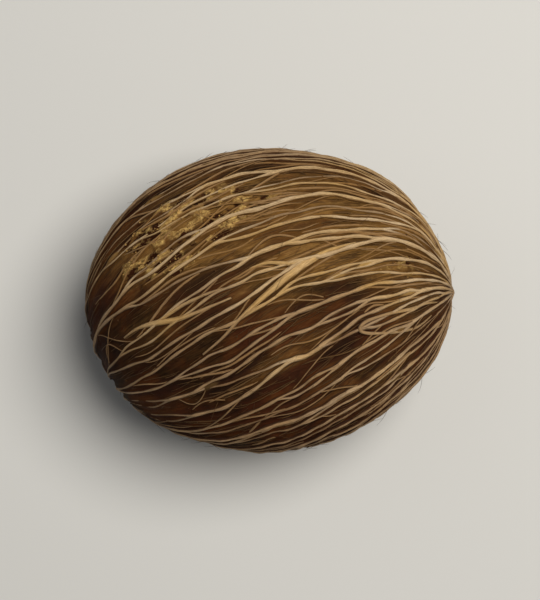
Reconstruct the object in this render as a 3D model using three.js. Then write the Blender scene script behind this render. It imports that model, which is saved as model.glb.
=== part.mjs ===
// A dried sea mango pod: the fibrous, corky husk of the fruit, washed free of its skin.
// It grew as one piece. A net of stiff fibres runs from the stem end to the tip, winds a little
// round the pod, forks and joins again at narrow angles, and stands proud of the dark husk.
//
// Millimetres. +X is the long way of the pod, +Y its width and +Z up through its depth.
// The pod lies on its broad side, so the origin is under its middle, on the surface it rests on.

import * as THREE from 'three';

// The pod over its fibres, as an egg of three half axes
const LENGTH = 75.0;
const WIDTH = 62.2;
const DEPTH = 52.0;
const HALF = new THREE.Vector3(LENGTH / 2, WIDTH / 2, DEPTH / 2);

// The two ends that the fibres run between: degrees round the pod from +X, and degrees above its middle
const STEM_END = [207, -27];
const TIP_END = [-3.5, 0];
// How far the fibres wind round on their way, in degrees
const TWIST = 31;

// One fibre: how high its crest stands over the husk, and half its width at the foot
const FIBRE_HEIGHT = 1.0;
const FIBRE_HALF_WIDTH = 0.8;
// Both shrink towards the ends, to these shares of their size in the middle
const HEIGHT_AT_ENDS = 0.45;
const WIDTH_AT_ENDS = 0.55;
// The share of a narrow gap that the two feet may take, and the least depth that is left in it
const FEET_IN_GAP = 0.62;
const SHALLOWEST = 0.3;
// A fibre thicker than this stands no higher
const HIGHEST_GIRTH = 1.3;

// The net is grown ring by ring from the stem end to the tip
const RINGS = 32;
const FIRST_RING = 0.12;
const FIBRES_AT_STEM = 20;
const MID_SPACING = 2.62;
const END_SPACING = 0.4;
const SPACING_POWER = 0.8;
// The fibres stand wider apart on the side that this direction points to
const SPARSE_SIDE = new THREE.Vector3(-0.62, -0.45, 0.64);
const SPARSENESS = 0.24;

// Growth: when a fibre forks or two join, as shares of the spacing, and how they wander
const FORK_OVER = 1.42;
const FORK_LEAST = 1.9;
const FORK_CHANCE = 0.07;
const FORK_HALF_GAP = 0.5;
const HALF_GAP_AT_ENDS = 0.6;
const FORK_THINS = 0.8;
const JOIN_UNDER = 0.6;
const JOIN_MOST = 1.15;
const JOIN_CHANCE = 0.075;
const JOIN_SPEED = 0.2;
const TOUCHING = 0.95;
const TOUCHING_AT_ENDS = 0.8;
const STRAY_FROM_ENDS = 0.4;
const REST_BETWEEN = 2;
const STRAIGHTEN = 0.22;
const WANDER = 0.32;
const WANDER_KEPT = 0.72;
const STEP_LIMIT = 0.3;
const THICKEST = 1.75;
const GIRTH_RETURN = 0.1;
const FORK_DRIFT = 0.5;
// What differs from fibre to fibre: girth and share of room as a least and a spread, and the
// most rings that a fibre has gone without a fork or a join when it leaves the stem end
const GIRTH_RANGE = [0.8, 0.4];
const ROOM_RANGE = [0.75, 0.5];
const OLDEST_AT_STEM = 5;
const UNEVENNESS = 0.5;
const SEED = 87;

// A fibre wavers sideways on its way, and its neighbours waver alike. Each waver is given as
// millimetres sideways, millimetres from wave to wave, and waves round the pod.
const WAVERS = [
  [0.3, 21.0, 5],
  [0.11, 9.5, 11],
];
// The way from end to end over the middle of the pod is about this long for one unit of reach
const MM_PER_REACH = 34.0;

// The corky husk swells and sinks a little, by this many millimetres
const SWELL = 0.22;
// Each swelling is the product of two waves: radians for a millimetre of x, y and z, and a start
const SWELLINGS = [
  [[0.11, 0, 0, 0.6], [0, 0.13, 0.17, 0]],
  [[-0.16, 0.21, 0, 1.1], [0, 0, 0.19, 2.0]],
];
// The stalk left a small hollow at one end, and the other end is a low point
const STEM_HOLLOW = 1.1;
const TIP_POINT = 0.5;
// The underside is pressed flat where the pod rests, this far above its lowest fibre
const REST_DEPTH = 1.4;

const TURN = 2 * Math.PI;
const SMALL_TURN = 0.01;
const radians = THREE.MathUtils.degToRad;
// The skin has a crest and the two feet of the gap that follows it for each fibre of a ring
const POINTS_A_FIBRE = 3;

// A repeatable chain of random draws between 0 and 1, whose first few are thrown away
const CHAIN_FACTOR = 16807;
const CHAIN_LENGTH = 2147483647;
const THROWN_AWAY = 4;

function makeDraw(seed) {
  let state = seed;
  const next = () => {
    state = (state * CHAIN_FACTOR) % CHAIN_LENGTH;
    return state / CHAIN_LENGTH;
  };
  for (let i = 0; i < THROWN_AWAY; i += 1) next();
  return next;
}

// A share that is 1 in the middle of the pod and falls to a given value at its ends
function fade(atEnds, reach, power = 1) {
  return atEnds + (1 - atEnds) * Math.sin(reach) ** power;
}

function onEgg([round, up]) {
  const flat = Math.cos(radians(up));
  return new THREE.Vector3(
    HALF.x * Math.cos(radians(round)) * flat,
    HALF.y * Math.sin(radians(round)) * flat,
    HALF.z * Math.sin(radians(up)),
  );
}

// The chord between the two ends, with two directions square to it: across and up
const stemEnd = onEgg(STEM_END);
const tipEnd = onEgg(TIP_END);
const chordMiddle = stemEnd.clone().add(tipEnd).multiplyScalar(0.5);
const along = tipEnd.clone().sub(stemEnd).normalize();
const across = new THREE.Vector3(0, 0, 1).cross(along).normalize();
const upward = along.clone().cross(across);

// A point of the egg: reach goes from 0 at the stem end to PI at the tip, turn goes round the chord
function eggPoint(reach, turn) {
  const wound = turn + radians(TWIST) * Math.cos(reach) / 2;
  const ray = along.clone().multiplyScalar(-Math.cos(reach));
  ray.addScaledVector(across, Math.sin(reach) * Math.cos(wound));
  ray.addScaledVector(upward, Math.sin(reach) * Math.sin(wound));
  const r = ray.clone().divide(HALF);
  const m = chordMiddle.clone().divide(HALF);
  const a = r.dot(r);
  const b = r.dot(m);
  const c = m.dot(m) - 1;
  return chordMiddle.clone().addScaledVector(ray, (-b + Math.sqrt(b * b - a * c)) / a);
}

// Millimetres along the ring for one radian of turn
function perRadian(reach, turn) {
  const before = eggPoint(reach, turn - SMALL_TURN);
  const after = eggPoint(reach, turn + SMALL_TURN);
  return before.distanceTo(after) / (2 * SMALL_TURN);
}

function spacingAt(reach, turn) {
  const side = eggPoint(reach, turn).normalize().dot(SPARSE_SIDE);
  const spacing = MID_SPACING * fade(END_SPACING, reach, SPACING_POWER);
  return spacing * (1 + SPARSENESS * side * Math.sin(reach));
}

// The turn from a to b, always going the same way round
function turnBetween(a, b) {
  return (((b - a) % TURN) + TURN) % TURN;
}

const draw = makeDraw(SEED);

function drawFrom([least, spread]) {
  return least + spread * draw();
}

// A draw between -1 and 1
function drawEitherWay() {
  return (draw() - 0.5) * 2;
}

function newFibre(turn, drift, girth) {
  return { turn, drift, girth, room: drawFrom(ROOM_RANGE), age: 0, joining: false };
}

function firstRing() {
  const ring = [];
  for (let i = 0; i < FIBRES_AT_STEM; i += 1) {
    const place = i + 0.5 + UNEVENNESS * (draw() - 0.5);
    const turn = -Math.PI / 2 + TURN * place / FIBRES_AT_STEM;
    const fibre = newFibre(turn, 0, drawFrom(GIRTH_RANGE));
    fibre.age = Math.floor(OLDEST_AT_STEM * draw());
    ring.push(fibre);
  }
  return ring;
}

// Two neighbours start to join where they are crowded, or now and then by chance
function chooseJoins(ring, gaps, wanted, reach) {
  for (let i = 0; i < ring.length - 1; i += 1) {
    const chance = draw();
    const busy = ring[i].joining || ring[i + 1].joining || (i > 0 && ring[i - 1].joining);
    if (busy || Math.min(ring[i].age, ring[i + 1].age) < REST_BETWEEN) continue;
    const crowded = gaps[i] < JOIN_UNDER * wanted[i];
    const stray = chance < JOIN_CHANCE && gaps[i] < JOIN_MOST * wanted[i];
    ring[i].joining = crowded || (stray && Math.sin(reach) > STRAY_FROM_ENDS);
  }
}

// Where each fibre goes on the next ring: towards its partner, or into the wider gap with some wander
function stepFibre(ring, i, left, right, reach) {
  const fibre = ring[i];
  const before = ring[(i + ring.length - 1) % ring.length];
  fibre.drift = WANDER_KEPT * fibre.drift + WANDER * drawEitherWay() * Math.sin(reach);
  if (fibre.joining) return JOIN_SPEED * right;
  if (i > 0 && before.joining) return -JOIN_SPEED * left;
  const limit = STEP_LIMIT * Math.min(left, right);
  const move = STRAIGHTEN * (right / fibre.room - left / before.room) / 2 + fibre.drift;
  return THREE.MathUtils.clamp(move, -limit, limit);
}

function growRing(ring, reach, nextReach) {
  const count = ring.length;
  const scale = ring.map((fibre) => perRadian(reach, fibre.turn));
  const gaps = ring.map((fibre, i) => {
    const j = (i + 1) % count;
    return turnBetween(fibre.turn, ring[j].turn) * (scale[i] + scale[j]) / 2;
  });
  const wanted = ring.map((fibre) => spacingAt(nextReach, fibre.turn));
  chooseJoins(ring, gaps, wanted, reach);
  const place = ring.map((fibre, i) => {
    const move = stepFibre(ring, i, gaps[(i + count - 1) % count], gaps[i], nextReach);
    return fibre.turn + move / scale[i];
  });
  const nextScale = place.map((turn) => perRadian(nextReach, turn));
  const touching = TOUCHING * fade(TOUCHING_AT_ENDS, nextReach);

  const next = [];
  const links = [];
  for (let i = 0; i < count; i += 1) {
    const fibre = ring[i];
    const chance = draw();
    if (i < count - 1 && fibre.joining && (place[i + 1] - place[i]) * nextScale[i] < touching) {
      const both = Math.hypot(fibre.girth, ring[i + 1].girth);
      next.push(newFibre((place[i] + place[i + 1]) / 2, 0, Math.min(both, THICKEST)));
      links.push({ from: [i, i + 1], to: [next.length - 1] });
      i += 1;
      continue;
    }
    const left = turnBetween(place[(i + count - 1) % count], place[i]) * nextScale[i];
    const right = turnBetween(place[i], place[(i + 1) % count]) * nextScale[i];
    const joining = fibre.joining || (i > 0 && ring[i - 1].joining);
    const wide = left + right > 2 * FORK_OVER * wanted[i];
    const roomy = left + right > FORK_LEAST * wanted[i] && Math.sin(nextReach) > STRAY_FROM_ENDS;
    if (fibre.age >= REST_BETWEEN && !joining && (wide || (chance < FORK_CHANCE && roomy))) {
      const half = FORK_HALF_GAP * fade(HALF_GAP_AT_ENDS, nextReach) / nextScale[i];
      next.push(newFibre(place[i] - half, -FORK_DRIFT * WANDER, FORK_THINS * fibre.girth));
      next.push(newFibre(place[i] + half, FORK_DRIFT * WANDER, FORK_THINS * fibre.girth));
      links.push({ from: [i], to: [next.length - 2, next.length - 1] });
    } else {
      const girth = (1 - GIRTH_RETURN) * fibre.girth + GIRTH_RETURN;
      next.push({ ...fibre, turn: place[i], girth, age: fibre.age + 1 });
      links.push({ from: [i], to: [next.length - 1] });
    }
  }
  return { next, links };
}

function growNet() {
  const reaches = [];
  for (let k = 0; k < RINGS; k += 1) {
    reaches.push(FIRST_RING + (Math.PI - 2 * FIRST_RING) * k / (RINGS - 1));
  }
  const rings = [firstRing()];
  const joints = [];
  for (let k = 0; k < RINGS - 1; k += 1) {
    const { next, links } = growRing(rings[k], reaches[k], reaches[k + 1]);
    rings.push(next);
    joints.push(links);
  }
  return { reaches, rings, joints };
}

// Long low swellings of the husk, which never stand over the egg by more than SWELL
function swellAt(p) {
  const wave = ([x, y, z, start]) => Math.sin(x * p.x + y * p.y + z * p.z + start);
  const total = SWELLINGS.reduce((sum, [one, other]) => sum + wave(one) * wave(other), 0);
  return SWELL * (total - 1);
}

// The turn at which a place ends up when its fibre has wavered
function wavered(reach, turn) {
  let sideways = 0;
  WAVERS.forEach(([size, length, around]) => {
    sideways += size * Math.sin(TURN * MM_PER_REACH * reach / length + around * (turn + 1));
  });
  return turn + sideways * Math.sin(reach) / perRadian(reach, turn);
}

// A point of the husk's skin, raised or sunk square to the egg
function skinPoint(reach, turn, lift) {
  const p = eggPoint(reach, turn);
  const out = p.clone().divide(HALF).divide(HALF).normalize();
  return p.addScaledVector(out, lift + swellAt(p));
}

// The points of a ring: for each fibre its crest, then the feet on either side of the gap after it
function ringPoints(ring, reach) {
  const height = FIBRE_HEIGHT * fade(HEIGHT_AT_ENDS, reach);
  const halfWidth = FIBRE_HALF_WIDTH * fade(WIDTH_AT_ENDS, reach);
  const points = [];
  const addPoint = (turn, lift) => points.push(skinPoint(reach, wavered(reach, turn), lift));
  ring.forEach((fibre, i) => {
    const other = ring[(i + 1) % ring.length];
    const scale = perRadian(reach, fibre.turn);
    const gap = turnBetween(fibre.turn, other.turn) * scale;
    const feet = halfWidth * (fibre.girth + other.girth);
    const shrink = Math.min(1, FEET_IN_GAP * gap / feet);
    const depth = height * Math.max(SHALLOWEST, Math.min(1, gap / feet));
    const nearFoot = fibre.turn + shrink * halfWidth * fibre.girth / scale;
    const farFoot = fibre.turn + (gap - shrink * halfWidth * other.girth) / scale;
    const crest = height * (Math.sqrt(Math.min(fibre.girth, HIGHEST_GIRTH)) - 1);
    addPoint(fibre.turn, crest);
    addPoint(nearFoot, -depth);
    addPoint(farFoot, -depth);
  });
  return points;
}

// The skin is laid between each two rings as a strip of triangles that follows the fibres: a gap
// that opens at a fork, or closes where fibres join, is a fan on the crest of the single fibre
function skinTriangles(net, points, firstOf) {
  const triangles = [];
  const addTriangle = (a, b, c) => triangles.push(a, b, c);
  const addQuad = (a, b, nextA, nextB) => {
    if (points[a].distanceTo(points[nextB]) < points[b].distanceTo(points[nextA])) {
      addTriangle(a, b, nextB);
      addTriangle(a, nextB, nextA);
    } else {
      addTriangle(a, b, nextA);
      addTriangle(b, nextB, nextA);
    }
  };
  const gapOf = (k, i) => {
    const base = firstOf[k];
    const count = net.rings[k].length;
    const start = base + POINTS_A_FIBRE * i;
    return [start, start + 1, start + 2, base + POINTS_A_FIBRE * ((i + 1) % count)];
  };
  net.joints.forEach((links, k) => {
    links.forEach(({ from, to }) => {
      if (from.length === 2) {
        const gap = gapOf(k, from[0]);
        const single = firstOf[k + 1] + POINTS_A_FIBRE * to[0];
        for (let s = 0; s < POINTS_A_FIBRE; s += 1) addTriangle(gap[s], gap[s + 1], single);
      }
      if (to.length === 2) {
        const gap = gapOf(k + 1, to[0]);
        const single = firstOf[k] + POINTS_A_FIBRE * from[0];
        for (let s = 0; s < POINTS_A_FIBRE; s += 1) addTriangle(single, gap[s + 1], gap[s]);
      }
      // The gap after this fibre goes on between the same two fibres
      const here = gapOf(k, from[from.length - 1]);
      const there = gapOf(k + 1, to[to.length - 1]);
      for (let s = 0; s < POINTS_A_FIBRE; s += 1) {
        addQuad(here[s], here[s + 1], there[s], there[s + 1]);
      }
    });
  });
  return triangles;
}

function capTriangles(start, count, end, flip) {
  const triangles = [];
  for (let i = 0; i < count; i += 1) {
    const a = start + i;
    const b = start + ((i + 1) % count);
    triangles.push(...(flip ? [a, b, end] : [b, a, end]));
  }
  return triangles;
}

function makeHusk() {
  const net = growNet();
  const points = [];
  const firstOf = [];
  net.rings.forEach((ring, k) => {
    firstOf.push(points.length);
    points.push(...ringPoints(ring, net.reaches[k]));
  });
  const stemPoint = points.push(skinPoint(0, 0, -STEM_HOLLOW)) - 1;
  const tipPoint = points.push(skinPoint(Math.PI, 0, TIP_POINT)) - 1;
  const triangles = skinTriangles(net, points, firstOf);
  const last = RINGS - 1;
  const around = (k) => POINTS_A_FIBRE * net.rings[k].length;
  triangles.push(...capTriangles(firstOf[0], around(0), stemPoint, false));
  triangles.push(...capTriangles(firstOf[last], around(last), tipPoint, true));

  // The fibres under the pod are pressed flat on the plane that it rests on
  const restHeight = -HALF.z + REST_DEPTH;
  points.forEach((p) => {
    p.z = Math.max(p.z, restHeight);
  });

  const geometry = new THREE.BufferGeometry().setFromPoints(points);
  geometry.setIndex(triangles);
  geometry.computeBoundingBox();
  const middle = geometry.boundingBox.getCenter(new THREE.Vector3());
  geometry.translate(-middle.x, -middle.y, -geometry.boundingBox.min.z);
  geometry.computeVertexNormals();
  return geometry;
}

// Dry tan fibre over dark brown husk, as one mean colour
const driedFibre = new THREE.MeshStandardMaterial({ color: 0x7d6140, roughness: 0.8, metalness: 0 });

const pod = new THREE.Mesh(makeHusk(), driedFibre);
pod.name = 'pod';

const model = new THREE.Group();
model.add(pod);

export default model;
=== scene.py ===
# %% [markdown]
# # A dried sea mango pod
#
# The pod is the husk of a fruit that has lost its skin: a dark, corky body with a net of tan
# fibres standing on it. It grew as one piece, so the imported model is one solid, and this
# notebook dresses that solid. It loads the solid first and keeps its box, because nothing made
# here may reach outside it.

# %% Load the frame
import math

import bpy
import numpy as np
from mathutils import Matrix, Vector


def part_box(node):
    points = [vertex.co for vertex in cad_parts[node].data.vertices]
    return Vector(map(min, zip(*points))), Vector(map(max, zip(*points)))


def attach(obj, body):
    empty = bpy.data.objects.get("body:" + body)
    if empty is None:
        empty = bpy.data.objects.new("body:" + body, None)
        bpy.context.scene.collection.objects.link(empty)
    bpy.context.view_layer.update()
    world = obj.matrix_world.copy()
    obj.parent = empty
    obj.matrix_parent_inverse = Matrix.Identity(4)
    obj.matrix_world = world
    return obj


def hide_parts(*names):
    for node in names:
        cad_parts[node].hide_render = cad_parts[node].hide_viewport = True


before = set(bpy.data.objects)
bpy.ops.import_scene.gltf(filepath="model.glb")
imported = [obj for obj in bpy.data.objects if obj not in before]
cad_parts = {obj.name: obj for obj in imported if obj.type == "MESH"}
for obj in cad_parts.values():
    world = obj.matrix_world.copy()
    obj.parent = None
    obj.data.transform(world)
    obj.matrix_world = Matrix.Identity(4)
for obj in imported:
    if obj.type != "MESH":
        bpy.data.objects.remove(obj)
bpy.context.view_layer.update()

pod_low, pod_high = (np.array(corner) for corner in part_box("pod"))
print("solid, mm:", np.round((pod_high - pod_low) * 1000, 2))

# %% [markdown]
# ## The egg and its two ends
#
# The pod's body is close to an egg of three half axes. The fibres run between two points of it:
# the stem end, low on the left, and the tip, at the right. Polar coordinates about the chord
# between those two points suit them best: `reach` goes from 0 at the stem end to pi at the tip,
# and `turn` goes round. A small twist makes lines of equal turn wind round the pod as the fibres
# do. The formulas work in millimetres, as a grower would measure, and `to_frame` turns the
# result into the frame's metres.

# %% The egg's sizes
MM = 0.001
HALF = np.array([75.0, 62.2, 52.0]) / 2
STEM_END = (207, -27)
TIP_END = (-3.5, 0)
TWIST = math.radians(31)
SWELL = 0.22
TURN = 2 * math.pi


def on_egg(round_deg, up_deg):
    """The point of the egg at an angle round from +X and an angle above the middle."""
    around, up = math.radians(round_deg), math.radians(up_deg)
    flat = math.cos(up)
    return HALF * (math.cos(around) * flat, math.sin(around) * flat, math.sin(up))


stem_end = on_egg(*STEM_END)
tip_end = on_egg(*TIP_END)
chord_middle = (stem_end + tip_end) / 2
along = (tip_end - stem_end) / np.linalg.norm(tip_end - stem_end)
across = np.cross((0, 0, 1), along)
across /= np.linalg.norm(across)
upward = np.cross(along, across)
print("stem end to tip, mm:", round(float(np.linalg.norm(tip_end - stem_end)), 1))


# %% Points on the egg
def egg_point(reach, turn):
    """Points of the egg, for single values or for whole arrays."""
    reach, turn = np.broadcast_arrays(np.asarray(reach, float), np.asarray(turn, float))
    wound = turn + TWIST * np.cos(reach) / 2
    ray = -np.cos(reach)[..., None] * along
    ray = ray + (np.sin(reach) * np.cos(wound))[..., None] * across
    ray = ray + (np.sin(reach) * np.sin(wound))[..., None] * upward
    r = ray / HALF
    m = chord_middle / HALF
    a = (r * r).sum(-1)
    b = (r * m).sum(-1)
    c = (m * m).sum() - 1
    return chord_middle + ((-b + np.sqrt(b * b - a * c)) / a)[..., None] * ray


def egg_normal(p):
    out = p / HALF**2
    return out / np.linalg.norm(out, axis=-1, keepdims=True)


def swell_at(p):
    """Long low swellings of the husk, in millimetres."""
    x, y, z = p[..., 0], p[..., 1], p[..., 2]
    a = np.sin(0.11 * x + 0.6) * np.sin(0.13 * y + 0.17 * z)
    b = np.sin(0.21 * y - 0.16 * x + 1.1) * np.sin(0.19 * z + 2.0)
    return SWELL * (a + b - 1)


def skin_point(reach, turn, lift):
    """A point raised or sunk square to the egg."""
    p = egg_point(reach, turn)
    return p + egg_normal(p) * (lift + swell_at(p))[..., None]


def per_radian(reach, turn):
    """Millimetres along the ring for one radian of turn."""
    step = 0.01
    chord = egg_point(reach, turn + step) - egg_point(reach, turn - step)
    return np.linalg.norm(chord, axis=-1) / (2 * step)


def fade(at_ends, reach, power=1):
    """A share that is 1 in the middle of the pod and falls to a given value at its ends."""
    return at_ends + (1 - at_ends) * np.sin(reach) ** power


# %% [markdown]
# ## Growing the fibre net
#
# On the real pod the fibres leave the stalk as a star, wander a little, fork where there is room
# and join where they are crowded, always at narrow angles. Drawing some three hundred strands
# by hand would be slow and stiff, so the net is grown by a rule, ring by ring, with one seeded
# chain of random draws. It is the same rule that shaped the solid, so each fibre here stands on
# its own ridge there.

# %% The growing rule's sizes
RINGS = 32
FIRST_RING = 0.12
FIBRES_AT_STEM = 20
MID_SPACING = 2.62
END_SPACING = 0.4
SPACING_POWER = 0.8
SPARSE_SIDE = np.array([-0.62, -0.45, 0.64])
SPARSENESS = 0.24
FORK_OVER, FORK_LEAST, FORK_CHANCE = 1.42, 1.9, 0.07
FORK_HALF_GAP, HALF_GAP_AT_ENDS, FORK_THINS = 0.5, 0.6, 0.8
JOIN_UNDER, JOIN_MOST, JOIN_CHANCE, JOIN_SPEED = 0.6, 1.15, 0.075, 0.2
TOUCHING, TOUCHING_AT_ENDS = 0.95, 0.8
STRAY_FROM_ENDS = 0.4
REST_BETWEEN = 2
STRAIGHTEN, WANDER, WANDER_KEPT, STEP_LIMIT = 0.22, 0.32, 0.72, 0.3
THICKEST, GIRTH_RETURN, FORK_DRIFT = 1.75, 0.1, 0.5
GIRTH_RANGE, ROOM_RANGE = (0.8, 0.4), (0.75, 0.5)
OLDEST_AT_STEM, UNEVENNESS = 5, 0.5
SEED = 87


def make_draw(seed, thrown_away=4):
    """A repeatable chain of random draws between 0 and 1."""
    state = seed

    def draw():
        nonlocal state
        state = (state * 16807) % 2147483647
        return state / 2147483647

    for _ in range(thrown_away):
        draw()
    return draw


draw = make_draw(SEED)


def new_fibre(turn, drift, girth):
    room = ROOM_RANGE[0] + ROOM_RANGE[1] * draw()
    return dict(turn=turn, drift=drift, girth=girth, room=room, age=0, joining=False)


def first_ring():
    ring = []
    for i in range(FIBRES_AT_STEM):
        place = i + 0.5 + UNEVENNESS * (draw() - 0.5)
        turn = -math.pi / 2 + TURN * place / FIBRES_AT_STEM
        fibre = new_fibre(turn, 0, GIRTH_RANGE[0] + GIRTH_RANGE[1] * draw())
        fibre["age"] = math.floor(OLDEST_AT_STEM * draw())
        ring.append(fibre)
    return ring


# %% One ring grows from the last
def spacing_at(reach, turn):
    p = egg_point(reach, turn)
    side = p @ SPARSE_SIDE / np.linalg.norm(p, axis=-1)
    return MID_SPACING * fade(END_SPACING, reach, SPACING_POWER) * (1 + SPARSENESS * side * np.sin(reach))


def choose_joins(ring, gaps, wanted, reach):
    """Two neighbours start to join where they are crowded, or now and then by chance."""
    for i in range(len(ring) - 1):
        chance = draw()
        busy = ring[i]["joining"] or ring[i + 1]["joining"] or (i > 0 and ring[i - 1]["joining"])
        if busy or min(ring[i]["age"], ring[i + 1]["age"]) < REST_BETWEEN:
            continue
        crowded = gaps[i] < JOIN_UNDER * wanted[i]
        stray = chance < JOIN_CHANCE and gaps[i] < JOIN_MOST * wanted[i]
        ring[i]["joining"] = bool(crowded or (stray and math.sin(reach) > STRAY_FROM_ENDS))


def step_fibre(ring, i, left, right, reach):
    """How far a fibre moves sideways on its way to the next ring, in millimetres."""
    fibre, before = ring[i], ring[i - 1]
    fibre["drift"] = WANDER_KEPT * fibre["drift"] + WANDER * (draw() - 0.5) * 2 * math.sin(reach)
    if fibre["joining"]:
        return JOIN_SPEED * right
    if i > 0 and before["joining"]:
        return -JOIN_SPEED * left
    limit = STEP_LIMIT * min(left, right)
    move = STRAIGHTEN * (right / fibre["room"] - left / before["room"]) / 2 + fibre["drift"]
    return max(-limit, min(limit, move))


def grow_ring(ring, reach, next_reach):
    """The next ring, and which of its fibres each old one goes on as."""
    count = len(ring)
    turns = np.array([fibre["turn"] for fibre in ring])
    scale = per_radian(reach, turns)
    gaps = (np.roll(turns, -1) - turns) % TURN * (scale + np.roll(scale, -1)) / 2
    wanted = spacing_at(next_reach, turns)
    choose_joins(ring, gaps, wanted, reach)
    place = [
        turns[i] + step_fibre(ring, i, gaps[i - 1], gaps[i], next_reach) / scale[i]
        for i in range(count)
    ]
    next_scale = per_radian(next_reach, np.array(place))
    touching = TOUCHING * fade(TOUCHING_AT_ENDS, next_reach)
    grown, links = [], []
    i = 0
    while i < count:
        fibre, chance = ring[i], draw()
        if i < count - 1 and fibre["joining"] and (place[i + 1] - place[i]) * next_scale[i] < touching:
            both = math.hypot(fibre["girth"], ring[i + 1]["girth"])
            grown.append(new_fibre((place[i] + place[i + 1]) / 2, 0, min(both, THICKEST)))
            links.append(((i, i + 1), (len(grown) - 1,)))
            i += 2
            continue
        left = (place[i] - place[i - 1]) % TURN * next_scale[i]
        right = (place[(i + 1) % count] - place[i]) % TURN * next_scale[i]
        joining = fibre["joining"] or (i > 0 and ring[i - 1]["joining"])
        wide = left + right > 2 * FORK_OVER * wanted[i]
        roomy = left + right > FORK_LEAST * wanted[i] and math.sin(next_reach) > STRAY_FROM_ENDS
        if fibre["age"] >= REST_BETWEEN and not joining and (wide or (chance < FORK_CHANCE and roomy)):
            half = FORK_HALF_GAP * fade(HALF_GAP_AT_ENDS, next_reach) / next_scale[i]
            for side in (-1, 1):
                drift = side * FORK_DRIFT * WANDER
                grown.append(new_fibre(place[i] + side * half, drift, FORK_THINS * fibre["girth"]))
            links.append(((i,), (len(grown) - 2, len(grown) - 1)))
        else:
            girth = (1 - GIRTH_RETURN) * fibre["girth"] + GIRTH_RETURN
            grown.append(dict(fibre, turn=place[i], girth=girth, age=fibre["age"] + 1))
            links.append(((i,), (len(grown) - 1,)))
        i += 1
    return grown, links


# %% Grow the whole net
reaches = [FIRST_RING + (math.pi - 2 * FIRST_RING) * k / (RINGS - 1) for k in range(RINGS)]
rings = [first_ring()]
joints = []
for ring_reach, ring_next in zip(reaches, reaches[1:]):
    next_ring, ring_links = grow_ring(rings[-1], ring_reach, ring_next)
    rings.append(next_ring)
    joints.append(ring_links)
print("fibres in each ring:", [len(ring) for ring in rings])
print("husk triangles in the solid:", 6 * sum(len(ring) for ring in rings))

# %% [markdown]
# ## No fibre runs quite true
#
# The rule draws calm lines, and real fibres waver and swell a little all the way. A wave that is
# drawn afresh for each fibre would tear the forks apart. So the waver depends on the place on
# the pod alone: fibres that meet are moved by the same amount, and neighbours waver alike.

# %% Waver a fibre
MM_PER_REACH = 34.0
WAVERS = [
    # mm sideways, mm from wave to wave, waves round the pod
    (0.3, 21.0, 5),
    (0.11, 9.5, 11),
]
WIDTH_WAVERS = [(0.17, 6.1, 17)]


def waves(reach, turn, kinds):
    """The sum of some waves over the pod."""
    return sum(
        size * np.sin(TURN * MM_PER_REACH * reach / length + around * (turn + 1))
        for size, length, around in kinds
    )


def wavered(reach, turn):
    """The turn at which a place ends up when its fibre has wavered."""
    return turn + waves(reach, turn, WAVERS) * np.sin(reach) / per_radian(reach, turn)


def waver(line):
    """A line of reach, turn and girth, shifted sideways and with its girth made uneven."""
    reach, turn, girth = line.T
    return np.stack([reach, wavered(reach, turn), girth * (1 + waves(reach, turn, WIDTH_WAVERS))], -1)


# %% [markdown]
# ## The pod's place in the frame
#
# The solid was set down with its box about the origin and its flat spot at height 0. The same
# sum is done here from the crests of the net, and the print shows both boxes side by side.

# %% Place the pod in the frame
FIBRE_HEIGHT = 1.0
HEIGHT_AT_ENDS = 0.45
HIGHEST_GIRTH = 1.3
STEM_HOLLOW = 1.1
TIP_POINT = 0.5
REST_DEPTH = 1.4


def crest_lift(reach, girth):
    """How high the crest of a fibre stands over the egg, in millimetres."""
    return FIBRE_HEIGHT * fade(HEIGHT_AT_ENDS, reach) * (np.sqrt(np.minimum(girth, HIGHEST_GIRTH)) - 1)


def ring_crests(k):
    turns = np.array([fibre["turn"] for fibre in rings[k]])
    girths = np.array([fibre["girth"] for fibre in rings[k]])
    return skin_point(reaches[k], wavered(reaches[k], turns), crest_lift(reaches[k], girths))


crests = np.concatenate([ring_crests(k) for k in range(RINGS)])
ends = np.array([skin_point(0, 0, -STEM_HOLLOW), skin_point(math.pi, 0, TIP_POINT)])
outline = np.concatenate([crests, ends])
rest_height = -HALF[2] + REST_DEPTH
shift = -(outline.min(0) + outline.max(0)) / 2
shift[2] = -rest_height


def to_frame(points):
    """Millimetres about the egg's middle become metres in the frame."""
    return (np.asarray(points) + shift) * MM


size_here = (outline.max(0) - outline.min(0))[:2]
solid_size = (pod_high - pod_low)[:2] / MM
print("net, mm:", np.round(size_here, 2), "and the solid:", np.round(solid_size, 2))

# %% [markdown]
# ## From the net to lines on the pod
#
# The rings hold points. A fibre is the smooth line through its points, from one fork or join to
# the next. Each stretch between two rings is a Catmull-Rom curve that also looks at the point
# before and the point after, so that a fibre leaves its fork in the direction of its parent.

# %% Smooth lines through the net
STEPS_BETWEEN_RINGS = 5
PAST_FIRST_RING = 0.4
END_THINS = 0.55


def knot(k, i):
    fibre = rings[k][i]
    return np.array([reaches[k], fibre["turn"], fibre["girth"]])


before, after = {}, {}
for k, ring_links in enumerate(joints):
    for starts, stops in ring_links:
        for i in starts:
            after[k, i] = np.mean([knot(k + 1, j) for j in stops], axis=0)
        for j in stops:
            before[k + 1, j] = np.mean([knot(k, i) for i in starts], axis=0)


def past_the_end(k, i):
    """A fibre of the first or last ring runs on towards the pole, thinner."""
    reach, turn, girth = knot(k, i)
    pole = 0 if k == 0 else math.pi
    return np.array([pole + (reach - pole) * PAST_FIRST_RING, turn, girth * END_THINS])


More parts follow.
